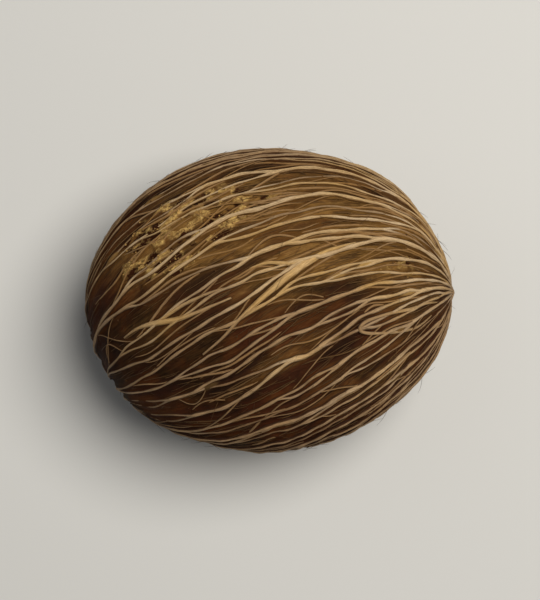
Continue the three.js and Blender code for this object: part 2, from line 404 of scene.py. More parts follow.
def curve_between(p0, p1, p2, p3):
    """Points of a Catmull-Rom curve from p1 up to, but not at, p2."""
    t = np.arange(STEPS_BETWEEN_RINGS)[:, None] / STEPS_BETWEEN_RINGS
    bend = 2 * p0 - 5 * p1 + 4 * p2 - p3
    return p1 + 0.5 * ((p2 - p0) * t + bend * t**2 + (3 * p1 - p0 - 3 * p2 + p3) * t**3)


def smooth_line(knots):
    """A line through all but the first and last of the knots, which only guide it."""
    parts = [curve_between(*knots[n:n + 4]) for n in range(len(knots) - 3)]
    return np.concatenate([*parts, knots[-2:-1]])


def follow(k, i, via=None):
    """The knots of a fibre from one fork or join to the next, with a guide at each end."""
    knots = [before.get((k, i), past_the_end(k, i)), knot(k, i)]
    if via is not None:
        k, i = k + 1, via
        knots.append(knot(k, i))
    while k < RINGS - 1:
        starts, stops = next(link for link in joints[k] if i in link[0])
        if len(stops) > 1:
            break
        k, i = k + 1, stops[0]
        knots.append(knot(k, i))
        if len(starts) > 1:
            break
    if k == RINGS - 1:
        last = past_the_end(k, i)
        knots += [last, 2 * last - knots[-1]]
    else:
        knots.append(after[k, i])
    return knots


fibre_knots = []
for i in range(len(rings[0])):
    first = past_the_end(0, i)
    knots = follow(0, i)
    fibre_knots.append([2 * first - knots[1], first, *knots[1:]])
for k, ring_links in enumerate(joints):
    for starts, stops in ring_links:
        if len(stops) > 1:
            fibre_knots += [follow(k, starts[0], via=j) for j in stops]
        if len(starts) > 1:
            fibre_knots.append(follow(k + 1, stops[0]))
fibre_lines = [waver(smooth_line(knots)) for knots in fibre_knots]
print("fibres:", len(fibre_lines), "with", sum(len(line) for line in fibre_lines), "points")

# %% [markdown]
# ## The gaps between neighbours
#
# Finer fibres run in the long lens-shaped gaps of the net, so the gaps are traced too. A gap
# opens at a fork or at the stem, and lasts until its two sides join.


# %% Trace the gaps
def gap_knot(k, i, j):
    return np.array([reaches[k], rings[k][i]["turn"], rings[k][j]["turn"]])


def trace_gap(k, i, j):
    """The knots of a gap: reach, left turn and right turn."""
    knots = [gap_knot(k, i, j)]
    while k < RINGS - 1:
        left = next(link for link in joints[k] if i in link[0])
        right = next(link for link in joints[k] if j in link[0])
        i, j, k = left[1][-1], right[1][0], k + 1
        if left is right:
            knots.append(gap_knot(k, j, j))
            break
        knots.append(gap_knot(k, i, j))
    return knots


gap_knots = [trace_gap(0, i, i + 1) for i in range(len(rings[0]) - 1)]
web_places = []
for k, ring_links in enumerate(joints):
    for starts, stops in ring_links:
        if len(stops) > 1:
            gap_knots.append([gap_knot(k, starts[0], starts[0]), *trace_gap(k + 1, *stops)])
            web_places.append((reaches[k + 1], rings[k][starts[0]]["turn"]))
        if len(starts) > 1:
            web_places.append((reaches[k], rings[k + 1][stops[0]]["turn"]))


def smooth_gap(knots):
    guided = [2 * knots[0] - knots[1], *knots, 2 * knots[-1] - knots[-2]]
    reach, left, right = smooth_line(guided).T
    return np.stack([reach, wavered(reach, left), wavered(reach, right)], -1)


gaps = [smooth_gap(knots) for knots in gap_knots if len(knots) > 2]
print("gaps:", len(gaps), "and forks and joins:", len(web_places))

# %% [markdown]
# ## Where the pod is golden and where it is dark
#
# The husk isn't evenly weathered. Towards the upper right of the photo the valleys are golden
# brown, at the lower left they are nearly black with a red cast, and at the upper left golden
# pith is left between the fibres. A few oval patches say so, for the upper side; round the rest
# of the pod slow waves do. Husk and strands read the same values.

# %% Golden places and pithy places
WARM_PLACES = [
    # x, y on the pod in mm, half length, half width, degrees from +X, how much
    (8.0, 15.0, 24.0, 11.0, 0, 0.9),
    (27.5, 4.5, 10.0, 9.0, 0, 0.8),
    (-15.0, 14.0, 15.0, 7.0, 28, 0.8),
    (6.0, 4.0, 15.0, 4.0, 22, 0.6),
    (18.0, -15.0, 13.0, 5.0, 32, 0.2),
    (-21.0, -3.0, 9.0, 2.5, 24, 0.45),
    (2.0, -12.0, 9.0, 2.6, 30, 0.45),
]
PITH_PLACES = [
    (-15.8, 15.0, 15.5, 7.6, 30, 1.15),
    (2.0, 19.0, 10.0, 2.5, 8, 0.5),
    (26.5, 4.0, 7.0, 3.6, 8, 0.62),
    (22.0, -16.0, 7.0, 3.0, 32, 0.5),
]
PATCH_EDGE = 1.5
UPPER_TO_LOWER = 2.0
WAVES_BELOW = (0.17, 0.21, 0.2)
PITH_BELOW, PITH_HELD_BACK = 0.95, 0.12
WARMED_BY_PITH, WARM_ALL_OVER = 0.4, 0.05


def patches(points, places):
    """How much a point lies in any of some oval patches of the upper side."""
    x, y, z = points.T
    total = np.zeros(len(points))
    for px, py, length, width, lean, much in places:
        c, s = math.cos(math.radians(lean)), math.sin(math.radians(lean))
        u = ((x - px) * c + (y - py) * s) / length
        v = ((y - py) * c - (x - px) * s) / width
        total += much * np.exp(-((u * u + v * v) ** PATCH_EDGE))
    return total / (1 + np.exp(-z / UPPER_TO_LOWER))


def below(points, phase):
    """The same for the side that faces down, where the photo shows nothing."""
    x, y, z = points.T
    a, b, c = WAVES_BELOW
    slow = np.sin(a * x + phase) * np.sin(b * y - phase) * np.sin(c * z + 2 * phase)
    return slow / (1 + np.exp(z / UPPER_TO_LOWER))


def pith_at(points):
    pith = patches(points, PITH_PLACES) + PITH_BELOW * below(points, 0.8) - PITH_HELD_BACK
    return np.clip(pith, 0, 1)


def warm_at(points):
    warm = patches(points, WARM_PLACES) + below(points, 0.4) + WARMED_BY_PITH * pith_at(points)
    return np.clip(warm + WARM_ALL_OVER, 0, 1)


# %% [markdown]
# ## Helpers for node trees
#
# Geometry Nodes and shader nodes are wired by script here. `add` makes one node, sets its own
# properties, and connects or fills its inputs. It hands back a `Wire`, which stands for what
# the node puts out. A sum with wires is written like a sum with numbers, and each step of it
# makes a Math node, so that a long sum stays readable. `grow_plain` puts a tree on an object,
# sets the tree's named inputs by their identifiers, and keeps the result as a plain mesh, with
# no modifier left on it.


# %% Wires to reckon with
class Wire:
    """What a node puts out. The node's other outputs are reached by name or number."""

    def __init__(self, tree, socket):
        self.tree, self.socket = tree, socket

    def __getitem__(self, output):
        return Wire(self.tree, self.socket.node.outputs[output])

    def maths(self, operation, *others, clamp=False):
        values = enumerate((self, *others))
        return add(self.tree, "ShaderNodeMath", *values, operation=operation, use_clamp=clamp)

    def __add__(self, other):
        return self.maths("ADD", other)

    def __sub__(self, other):
        return self.maths("SUBTRACT", other)

    def __mul__(self, other):
        return self.maths("MULTIPLY", other)

    def __truediv__(self, other):
        return self.maths("DIVIDE", other)

    def __rsub__(self, number):
        return add(self.tree, "ShaderNodeMath", (0, number), (1, self), operation="SUBTRACT")

    def __rtruediv__(self, number):
        return add(self.tree, "ShaderNodeMath", (0, number), (1, self), operation="DIVIDE")

    def stretched(self, by):
        """Each of the three numbers multiplied on its own."""
        return add(self.tree, "ShaderNodeVectorMath", (0, self), (1, by), operation="MULTIPLY")

    def scaled(self, by):
        return add(self.tree, "ShaderNodeVectorMath", (0, self), ("Scale", by), operation="SCALE")

    def spread(self, low, high, to_low=0.0, to_high=1.0):
        """Maps low..high to another range, smoothly and with no overshoot."""
        return add(self.tree, "ShaderNodeMapRange", *enumerate((self, low, high, to_low, to_high)),
                   interpolation_type="SMOOTHSTEP")

    def noise(self, scale, detail, roughness=0.5):
        return add(self.tree, "ShaderNodeTexNoise", ("Vector", self), ("Scale", scale),
                   ("Detail", detail), ("Roughness", roughness))


# %% Nodes and trees
def add(tree, kind, *pairs, **settings):
    """One node. Each pair is an input's name or number, and a wire or a value for it."""
    made = tree.nodes.new(kind)
    for name, value in settings.items():
        setattr(made, name, value)
    for place, value in pairs:
        if isinstance(value, Wire):
            tree.links.new(value.socket, made.inputs[place])
        else:
            made.inputs[place].default_value = value
    return Wire(tree, made.outputs[0]) if len(made.outputs) else None


def joined(tree, *numbers):
    """Three numbers as one vector."""
    return add(tree, "ShaderNodeCombineXYZ", *enumerate(numbers))


def give_inputs(tree, inputs):
    """Gives a tree named inputs, and hands back the wires that come from them."""
    for label, kind, value in inputs:
        socket = tree.interface.new_socket(label, in_out="INPUT", socket_type="NodeSocket" + kind)
        if value is not None:
            socket.default_value = value
    return add(tree, "NodeGroupInput")


def new_tree(name, inputs):
    """A Geometry Nodes tree with named inputs. It takes and gives one geometry."""
    tree = bpy.data.node_groups.new(name, "GeometryNodeTree")
    tree.interface.new_socket("Geometry", in_out="OUTPUT", socket_type="NodeSocketGeometry")
    return tree, give_inputs(tree, [("Geometry", "Geometry", None), *inputs])


def end_tree(tree, geometry, material):
    """Every tree ends the same way: smooth, real geometry with its material."""
    smooth = add(tree, "GeometryNodeSetShadeSmooth", ("Geometry", geometry))
    real = add(tree, "GeometryNodeRealizeInstances", ("Geometry", smooth))
    done = add(tree, "GeometryNodeSetMaterial", ("Geometry", real), ("Material", material))
    add(tree, "NodeGroupOutput", ("Geometry", done))


def named(tree, name, kind="FLOAT"):
    """An attribute that an earlier step left on the geometry."""
    return add(tree, "GeometryNodeInputNamedAttribute", ("Name", name), data_type=kind)


def keep(tree, geometry, name, value, kind="FLOAT"):
    """Leaves a value on the geometry's points under a name."""
    return add(tree, "GeometryNodeStoreNamedAttribute", ("Geometry", geometry), ("Name", name),
               ("Value", value), data_type=kind, domain="POINT")


def move(tree, geometry, how, where):
    """Puts a geometry's points at a new "Position", or shifts them by an "Offset"."""
    return add(tree, "GeometryNodeSetPosition", ("Geometry", geometry), (how, where))


# %% Objects, and what their points carry
def new_object(name, data):
    """An object in the scene from a mesh, a lamp or a camera."""
    made = bpy.data.objects.new(name, data)
    bpy.context.scene.collection.objects.link(made)
    return made


def leave(mesh, label, values):
    """A number or a direction for each point of a mesh, for the trees and finishes to read."""
    kind, key = ("FLOAT", "value") if values.ndim == 1 else ("FLOAT_VECTOR", "vector")
    mesh.attributes.new(label, kind, "POINT").data.foreach_set(key, values.ravel())


def grow_plain(source, tree, name, **values):
    """Runs a tree on an object and keeps the outcome as a plain mesh object."""
    modifier = source.modifiers.new(tree.name, "NODES")
    modifier.node_group = tree
    for item in tree.interface.items_tree:
        label = item.name.replace(" ", "_").lower()
        if item.item_type == "SOCKET" and item.in_out == "INPUT" and label in values:
            modifier[item.identifier] = values[label]
    evaluated = source.evaluated_get(bpy.context.evaluated_depsgraph_get())
    mesh = bpy.data.meshes.new_from_object(evaluated)
    source.modifiers.clear()
    mesh.calc_loop_triangles()
    print(f"{name}: {len(mesh.loop_triangles)} triangles")
    return new_object(name, mesh)


# %% [markdown]
# ## One way to sweep every strand
#
# Fibres, threads and fuzz are all strands: a line with a thickness. They could be beveled
# curves, but then the flat side of a strand couldn't follow the skin. So a tree turns lines
# into curves, points each curve's normal away from the skin, and sweeps a slightly lobed
# section along it, as wide as the girth at each point. It leaves `rise` on the result, which
# runs from -1 under a strand to 1 on its crest, and `grain`, whose first two numbers go round
# the strand and whose third runs along it.

# %% The sweeping tree
strand_sizes = [
    ("Half width", "Float", 0.0005),
    ("Half height", "Float", 0.0005),
    ("Sides", "Int", 8),
    ("Lobes", "Float", 3.0),
    ("Lobe depth", "Float", 0.0),
    ("Roughness", "Float", 0.0),
    ("Seed", "Float", 0.0),
    ("Material", "Material", None),
]
LUMP_STRETCH = (1.3, 1.3, 0.5)
LUMP_SCALE = 1.6


def make_sweeping_tree():
    tree, size = new_tree("sweep strands", strand_sizes)
    curve = add(tree, "GeometryNodeMeshToCurve", ("Mesh", size["Geometry"]))
    facing = add(tree, "GeometryNodeSetCurveNormal", ("Curve", curve),
                 ("Normal", named(tree, "skin", "FLOAT_VECTOR")), mode="FREE")

    circle = add(tree, "GeometryNodeCurvePrimitiveCircle", ("Resolution", size["Sides"]), ("Radius", 1.0))
    place = add(tree, "GeometryNodeInputPosition")
    parts = add(tree, "ShaderNodeSeparateXYZ", (0, place))
    angle = parts["Y"].maths("ARCTAN2", parts["X"])
    swell = (angle * size["Lobes"]).maths("COSINE") * size["Lobe depth"] + 1.0
    scale = joined(tree, size["Half height"] * swell, size["Half width"] * swell, 1.0)
    section = keep(tree, circle, "round", place, "FLOAT_VECTOR")
    section = move(tree, section, "Position", place.stretched(scale))

    swept = add(tree, "GeometryNodeCurveToMesh", ("Curve", facing), ("Profile Curve", section),
                ("Scale", named(tree, "girth")), ("Fill Caps", True))
    around = add(tree, "ShaderNodeSeparateXYZ", (0, named(tree, "round", "FLOAT_VECTOR")))
    grain = joined(tree, around["X"], around["Y"], named(tree, "along"))
    result = keep(tree, swept, "rise", around["X"])
    result = keep(tree, result, "grain", grain, "FLOAT_VECTOR")

    lumps = add(tree, "ShaderNodeTexNoise", ("Vector", grain.stretched(LUMP_STRETCH)),
                ("W", size["Seed"] + named(tree, "tone")), ("Scale", LUMP_SCALE), ("Detail", 3.0),
                noise_dimensions="4D")
    out = add(tree, "GeometryNodeInputNormal")
    result = move(tree, result, "Offset", out.scaled((lumps - 0.5) * size["Roughness"]))
    end_tree(tree, result, size["Material"])
    return tree


sweeping_tree = make_sweeping_tree()
print("sweeping tree:", len(sweeping_tree.nodes), "nodes")


# %% Lines with what the tree needs
def make_lines(name, strands):
    """One object of loose edges. A strand is its points in mm, skin directions, girths and tones."""
    places, skins, girths, tones = zip(*strands)
    counts = [len(place) for place in places]
    steps = [np.linalg.norm(np.diff(place, axis=0), axis=1) for place in places]
    goes_on = np.setdiff1d(np.arange(sum(counts)), np.cumsum(counts) - 1)
    mesh = bpy.data.meshes.new(name)
    mesh.from_pydata(to_frame(np.concatenate(places)), np.stack([goes_on, goes_on + 1], -1).tolist(), [])
    for label, values in (
        ("warm", [warm_at(place) for place in places]),
        ("girth", girths),
        ("along", [np.concatenate([[0], np.cumsum(step)]) for step in steps]),
        ("tone", [np.broadcast_to(tone, count) for tone, count in zip(tones, counts)]),
        ("skin", skins),
    ):
        leave(mesh, label, np.concatenate(values))
    return new_object(name, mesh)


# %% [markdown]
# ## Finishes
#
# Dry plant fibre has no single colour. A crest is pale tan, partly because it has been rubbed and
# partly as a painted highlight; its flanks are brown and the side under it nearly black, darkened as
# painted shade; and the valleys between are nearly black, with a red or golden cast here and there.
# The materials read the attributes that the trees leave behind, so the colours sit on the right
# part of each strand from any side. Two effects are used by every material: streaks along the
# grain, and slow changes from place to place. Each is a node group, built once.

# %% Two groups that every finish uses
FINER = 3.1
SPECKS_PER_PATCH = 14.0


def new_group(name, inputs, outputs):
    group = bpy.data.node_groups.new(name, "ShaderNodeTree")
    for label in outputs:
        group.interface.new_socket(label, in_out="OUTPUT", socket_type="NodeSocketFloat")
    return group, give_inputs(group, inputs)


def make_streaks():
    """Fine lines that follow the grain: noise that is squeezed across it and drawn out along it."""
    group, given = new_group("streaks along the grain", [
        ("Grain", "Vector", (0, 0, 0)),
        ("Across", "Float", 4.0),
        ("Along", "Float", 0.3),
        ("Scale", "Float", 1.0),
    ], ["Streak", "Fine"])
    drawn = given["Grain"].stretched(joined(group, given["Across"], given["Across"], given["Along"]))
    broad = drawn.noise(given["Scale"], 4.0, 0.6)
    fine = drawn.noise(given["Scale"] * FINER, 3.0, 0.6)
    add(group, "NodeGroupOutput", (0, broad.spread(0.32, 0.68)), (1, fine.spread(0.35, 0.65)))
    return group


def make_weather():
    """Slow changes from place to place, in metres on the pod, and fine specks."""
    group, given = new_group("change from place to place", [("Size", "Float", 0.012)], ["Patch", "Speck"])
    where = add(group, "ShaderNodeTexCoord")["Object"]
    patch = where.noise(1.0 / given["Size"], 3.0, 0.55)
    speck = where.noise(SPECKS_PER_PATCH / given["Size"], 2.0, 0.7)
    add(group, "NodeGroupOutput", (0, patch.spread(0.35, 0.65)), (1, speck.spread(0.35, 0.65)))
    return group


streaks = make_streaks()
weather = make_weather()

# %% Crumbs and pits
CRUMB_STRETCH, CRUMB_SCALE = (1.0, 1.0, 0.5), 0.62
PIT_BEND, PIT_SCALE = (2.0, 2.0, 2.4), 0.55


def crumbled(flow):
    """Crumb noise and pits in the pith. Both kinds of tree use it, so form and colour agree."""
    near = flow.stretched(CRUMB_STRETCH)
    crumb = near.noise(CRUMB_SCALE, 3.0, 0.6)
    bent = add(flow.tree, "ShaderNodeVectorMath", (0, crumb["Color"]), (1, PIT_BEND), (2, near),
               operation="MULTIPLY_ADD")
    holes = add(flow.tree, "ShaderNodeTexVoronoi", ("Vector", bent), ("Scale", PIT_SCALE),
                ("Randomness", 1.0))
    return crumb.spread(0.4, 0.6), holes["Distance"].spread(0.55, 0.38)


# %% Helpers for finishes
def srgb(*levels):
    """A colour as it is seen, from 0 to 255, as the linear colour that a shader wants."""
    shares = [level / 255 for level in levels]
    linear = [s / 12.92 if s <= 0.04045 else ((s + 0.055) / 1.055) ** 2.4 for s in shares]
    return (*linear, 1.0)


def blend(share, first, second, mode="MIX"):
    """From the first colour to the second by a share."""
    return add(share.tree, "ShaderNodeMix", (0, share), (6, first), (7, second), data_type="RGBA",
               blend_type=mode)[2]


def new_material(name, roughness=0.75, specular=0.2):
    material = bpy.data.materials.new(name)
    material.use_nodes = True
    tree = material.node_tree
    shader = tree.nodes["Principled BSDF"]
    shader.inputs["Roughness"].default_value = roughness
    shader.inputs["Specular IOR Level"].default_value = specular
    return material, tree, shader


def read(tree, name, output="Fac"):
    return add(tree, "ShaderNodeAttribute", attribute_name=name, attribute_type="GEOMETRY")[output]


def use_group(tree, group, *pairs):
    return add(tree, "ShaderNodeGroup", *pairs, node_tree=group)


def show(shader, colour, height, depth, strength):
    """Gives a shader its colour, and a bump from a height."""
    tree = colour.tree
    bump = add(tree, "ShaderNodeBump", ("Height", height), ("Distance", depth), ("Strength", strength))
    tree.links.new(colour.socket, shader.inputs["Base Color"])
    tree.links.new(bump.socket, shader.inputs["Normal"])


# %% Fibre finish: tan crests over brown flanks
# Crest colours are pale rubbed fibre, brightened as a painted highlight; flank colours are brown fibre,
# darkened as painted shade.
CREST_PALE = srgb(222, 195, 156)
CREST_GOLD = srgb(208, 167, 102)
CREST_DULL = srgb(166, 134, 98)
LESSER_BROWN = srgb(136, 98, 54)
FLANKS = (srgb(60, 31, 12), srgb(112, 76, 28))
# Nearly black under a strand: painted shade where it lies against the skin.
UNDERSIDE_SHADE = srgb(26, 11, 4)
SIDE_CRESTS = (srgb(176, 140, 96), srgb(170, 127, 70))
THREAD_CRESTS = (srgb(140, 104, 60), srgb(96, 64, 32))
THREAD_FLANKS = (srgb(46, 27, 14), srgb(100, 70, 34))


def make_fibre_finish(name, crests, flanks, crest_from, dulling=0.0):
    """Pairs of colours go from pale to golden on the crests, and from dark to warm on the flanks."""
    material, tree, shader = new_material(name, roughness=0.62)
    warm, tone = read(tree, "warm"), read(tree, "tone")
    lines = use_group(tree, streaks, ("Grain", read(tree, "grain", "Vector")), ("Across", 2.2),
                      ("Along", 0.22), ("Scale", 1.5))
    place = use_group(tree, weather, ("Size", 0.009))
    crest = blend(place["Patch"] * 0.35 + tone * 0.65, *crests)
    crest = blend(warm.spread(0.6, 0.0, 0.0, dulling), crest, CREST_DULL)
    crest = blend(tone.spread(0.0, -0.9, 0.0, 0.62), crest, LESSER_BROWN)
    # From underside over flank to crest: darker as painted shade, paler as rubbed wear and a painted
    # highlight.
    worn_and_lit = lines["Streak"] * 0.35 + read(tree, "rise")
    colour = blend(worn_and_lit.spread(-0.3, 0.4), UNDERSIDE_SHADE, blend(warm, *flanks))
    colour = blend(worn_and_lit.spread(crest_from, 1.1), colour, crest)
    colour = blend((1.0 - lines["Fine"]) * 0.4, colour, flanks[1], "MULTIPLY")
    show(shader, colour, lines["Streak"] + lines["Fine"] * 0.5, depth=0.1 * MM, strength=0.8)
    return material


fibre_finish = make_fibre_finish("tan fibre", (CREST_PALE, CREST_GOLD), FLANKS, 0.55, 0.8)
side_finish = make_fibre_finish("brown fibre", SIDE_CRESTS, FLANKS, 0.5, 0.4)
thread_finish = make_fibre_finish("fine thread", THREAD_CRESTS, THREAD_FLANKS, 0.1)


# %% Husk finish: dark valleys, streaked, with golden pith
VALLEY_DARK = srgb(26, 10, 3)
VALLEY_RED = srgb(72, 26, 5)
# Greyish violet for some valley cells: painted deep shadow and painted reflection.
VALLEY_SHADOW_AND_REFLECTION = srgb(42, 26, 20)
PIT_DARK = srgb(52, 24, 7)
VALLEY_GOLD = srgb(138, 102, 55)
PITH_GOLD = srgb(212, 174, 104)
CELL_STRETCH = (0.3, 0.3, 0.065)


def make_husk_finish():
    material, tree, shader = new_material("dark husk", roughness=0.8, specular=0.08)
    flow, warm = read(tree, "flow", "Vector"), read(tree, "warm")
    web, pith = read(tree, "web"), read(tree, "pith")
    lines = use_group(tree, streaks, ("Grain", flow), ("Across", 1.9), ("Along", 0.16), ("Scale", 1.0))
    place = use_group(tree, weather, ("Size", 0.010))
    cell = flow.stretched(CELL_STRETCH).noise(1.0, 2.0).spread(0.42, 0.56)
    colour = blend(place["Patch"], VALLEY_DARK, VALLEY_RED)
    # Painted shadow and painted reflection, laid where the cell noise is low.
    colour = blend((1.0 - cell) * 0.4, colour, VALLEY_SHADOW_AND_REFLECTION)

    streaky = lines["Streak"] * 0.45 + lines["Fine"] * 0.45
    golden = (warm + 0.1) * (cell * 0.85 + 0.3)
    golden = golden.maths("MULTIPLY", place["Patch"] * 0.35 + streaky, clamp=True)
    colour = blend(golden, colour, VALLEY_GOLD)
    near = read(tree, "foot").maths("MAXIMUM", web) * 0.5
    colour = blend(near, colour, blend(warm, *FLANKS))
    colour = blend(web.spread(0.2, 0.9) * (warm * 0.6 + 0.08), colour, CREST_GOLD)

    speckled = (place["Speck"] * 0.75 + 0.3) * (lines["Fine"] * 0.5 + 0.5)
    colour = blend(pith.spread(0.2, 0.8) * speckled, colour, PITH_GOLD)
    _, pit = crumbled(flow)
    colour = blend(pit * pith.spread(0.1, 0.4), colour, PIT_DARK)
    height = place["Speck"] * 0.5 + (lines["Streak"] + lines["Fine"])
    show(shader, colour, height, depth=0.14 * MM, strength=0.9)
    return material


husk_finish = make_husk_finish()
print("finishes:", [material.name for material in bpy.data.materials])

# %% [markdown]
# ## The main fibres
#
# Each line of the net is swept with a section that is a little higher than it is wide. The
# middle of the section lies half its height under the crest of the ridge in the solid, so the
# swept fibre and the ridge reach the same height, and its lower half is sunk in the husk. Some
# fibres are lesser ones: between their forks they are thinner, lower and browner.

# %% Dress a fibre of the net
FIBRE_HALF_WIDTH = 0.46
FIBRE_HALF_HEIGHT = 0.5
WIDTH_AT_ENDS = 0.55
LEAST_GIRTH = 0.3
DARK_TO_WARM = (0, 0.6)
LESSER_CHANCE = (0.36, 0.1)
LESSER_THINNER = 0.28
LESSER_LOWER = 0.2
LESSER_EASE = 0.6
TONES = [(0.3, 90.0, 31), (0.2, 41.0, 53)]
ranks = np.random.default_rng(SEED + 1)


def eased(t, power=0.5):
    """A share that is 1 in the middle of a strand and falls to 0 at its ends."""
    return np.sin(math.pi * t) ** power


def tone_at(reach, turn):
    """Paler and more golden fibres, by place, so that a tone runs on through forks and joins."""
    return 0.5 + waves(reach, turn, TONES)


def strand_on_skin(reach, turn, lift, girth, tone):
    """A strand's points, the skin's direction at each, its girths and its tone."""
    return skin_point(reach, turn, lift), egg_normal(egg_point(reach, turn)), girth, tone


def dress_line(line):
    """A line of the net as a strand, at the height of its ridge or as a lesser fibre."""
    reach, turn, girth = line.T
    girth = np.clip(girth, LEAST_GIRTH, THICKEST)
    chance = np.interp(warm_at(egg_point(reach, turn)).mean(), DARK_TO_WARM, LESSER_CHANCE)
    lesser = eased(np.linspace(0, 1, len(line)), LESSER_EASE) * (ranks.random() < chance)
    size = girth * fade(WIDTH_AT_ENDS, reach) * (1 - LESSER_THINNER * lesser)
    lift = crest_lift(reach, girth) - FIBRE_HALF_HEIGHT * size - LESSER_LOWER * lesser
    tone = tone_at(reach, turn)
    return strand_on_skin(reach, turn, lift, size, tone - (1 + tone) * lesser)


# %% [markdown]
# ## What the eye goes to
#
# A net that is grown by rule has the right manner, but a few single things catch the eye in the
# photo: a broad golden fork near the middle, another at the left, and a fibre that turns back on
# itself like a hairpin near the tip. They are given by a few places on the pod, seen from
# above, and are swept together with the net.

# %% Forks and a hairpin where the photo shows them
EYE_CATCHERS = [
    # how deep the crest lies under the top of the net, then x, y in mm and girth
    (-0.12, [(-13.5, -9.5, 0.5), (-9.0, -6.2, 0.8), (-5.5, -2.9, 0.9), (-2.5, -0.6, 1.2), (0.9, 1.9, 1.7),
             (5.7, 5.2, 2.2), (9.7, 7.3, 1.9), (13.3, 8.7, 1.1), (18.0, 9.6, 0.5)]),
    (0.0, [(-3.0, 6.3, 0.5), (0.6, 7.1, 0.9), (4.6, 6.6, 1.2), (7.7, 6.8, 1.2), (11.2, 8.0, 0.7)]),
    (0.0, [(-29.0, -5.0, 0.5), (-25.6, -3.2, 0.9), (-21.5, -2.5, 1.6), (-17.3, -2.1, 1.3), (-12.0, -0.6, 0.9),
           (-7.0, 1.0, 0.5)]),
    (0.05, [(-22.8, -2.9, 0.8), (-19.6, -1.2, 1.0), (-16.0, 0.6, 0.9), (-11.5, 2.2, 0.7), (-7.5, 3.1, 0.4)]),
    (-0.05, [(34.3, -3.6, 0.5), (31.4, -3.6, 0.8), (28.0, -4.4, 0.9), (24.0, -4.7, 0.9), (20.4, -5.3, 0.9),
             (17.8, -6.2, 1.0), (17.0, -7.4, 1.0), (18.6, -8.2, 0.9), (21.8, -8.5, 0.8), (25.2, -8.6, 0.8),
             (29.0, -8.2, 0.7), (32.6, -6.2, 0.4)]),
]
DRAWN_ENDS_SINK = 0.6


def over(x, y):
    """The point of the egg's upper side above a place."""
    return np.stack([x, y, HALF[2] * np.sqrt(1 - (x / HALF[0]) ** 2 - (y / HALF[1]) ** 2)], -1)


def drawn_fibre(drop, places):
    """A strand through places seen from above."""
    x, y, size = smooth_line(np.array([places[0], *places, places[-1]], float)).T
    ends = eased(np.linspace(0.01, 0.99, len(x)))
    egg = over(x, y)
    skin = egg_normal(egg)
    lift = swell_at(egg) - drop - DRAWN_ENDS_SINK * (1 - ends) - FIBRE_HALF_HEIGHT * size
    return egg + skin * lift[:, None], skin, size, 1.0


drawn_fibres = [drawn_fibre(*catcher) for catcher in EYE_CATCHERS]

# %% [markdown]
# ## The two ends
#
# At the tip the fibres run together into a small woody point. At the stem end the stalk has broken
# off and left a scar: a ring of short stubs that lean in over a hollow. Both are short strands
# about a pole of the net, so they are lines like the rest and are swept with them.

# %% Strands at the tip and round the stalk scar
END_POINTS, END_BEND, END_UNEVEN = 8, 1.5, 0.3
TIP_STRANDS, TIP_REACHES = 16, (0.1, 0.002)
TIP_LIFTS, TIP_GIRTHS = (-0.75, TIP_POINT - 0.25), (0.9, 0.45)
STUBS, STUB_REACHES = 17, (0.085, 0.036)
STUB_ROOT, STUB_TOPS = -1.0, (-0.75, -0.3)
STUB_GIRTH, STUB_TOP_GIRTHS = 0.8, (0.35, 0.7)


def end_strand(pole, turn, reaches_from_pole, lifts, girths):
    """A short strand that runs towards a pole, with its lifts and girths eased from first to last."""
    t = np.linspace(0, 1, END_POINTS)
    reach = np.abs(pole - np.interp(t, (0, 1), reaches_from_pole))
    lift, girth = np.interp(t**END_BEND, (0, 1), lifts), np.interp(t, (0, 1), girths)
    return strand_on_skin(reach, turn, lift, girth, tone_at(reach, turn))


def turns_about_evenly(count):
    """Turns round the pod, each drawn only when it is asked for."""
    for i in range(count):
        yield TURN * (i + looks.uniform(-END_UNEVEN, END_UNEVEN)) / count


# The net and its lesser fibres have draws of their own. All that follows shares this chain.
looks = np.random.default_rng(SEED)
end_strands = []
for turn in turns_about_evenly(TIP_STRANDS):
    end_strands.append(end_strand(math.pi, turn, TIP_REACHES, TIP_LIFTS, TIP_GIRTHS))
for turn in turns_about_evenly(STUBS):
    lifts = (STUB_ROOT, looks.uniform(*STUB_TOPS))
    girths = (STUB_GIRTH, looks.uniform(*STUB_TOP_GIRTHS))
    end_strands.append(end_strand(0, turn, STUB_REACHES, lifts, girths))
print("strands at the ends:", len(end_strands))

# %% Sweep all of them
net_strands = [dress_line(line) for line in fibre_lines]
fibre_source = make_lines("fibre lines", net_strands + drawn_fibres + end_strands)
fibres = grow_plain(fibre_source, sweeping_tree, "pod_fibres", half_width=FIBRE_HALF_WIDTH * MM,
                    half_height=FIBRE_HALF_HEIGHT * MM, sides=8, lobes=3.0, lobe_depth=0.06,
                    roughness=0.24 * MM, material=fibre_finish)

# %% [markdown]
# ## Side fibres
#
# Lesser fibres run in the gaps. Some cross from one side to the other, some leave a side and
# come back to it, and some start and end in the valley. They share a tree with the main fibres
# but stand lower and are about half as thick.

# %% Side fibres in the gaps
GAP_FOR_ONE = 2.5
POINTS_FOR_ONE = 24
BUSY, BUSY_DARK, BUSY_WARM, ONE_MORE = (0.3, 1.1), 0.55, 0.75, 0.6
SIDE_STEPS = (9, 40)
SIDE_GIRTH, SIDE_END_GIRTH = (0.35, 0.8), 0.15
SIDE_DROP, SIDE_ENDS_SINK = (0.05, 0.36), 0.55
CROSSES, COMES_BACK = 0.5, 0.28
BACK_FROM, FREE_AT, FREE_WAVE = (0.35, 0.6), (0.35, 0.65), 0.1


def share_across(t):
    """Where in its gap a side fibre runs: 0 at one side of the gap, 1 at the other."""
    kind = looks.random()
    if kind < CROSSES:
        share = t * t * (3 - 2 * t)
    elif kind < CROSSES + COMES_BACK:
        share = looks.uniform(*BACK_FROM) * np.sin(math.pi * t)
    else:
        share = looks.uniform(*FREE_AT) + FREE_WAVE * np.sin(TURN * (t + looks.random()))
    return share if looks.random() < 0.5 else 1 - share


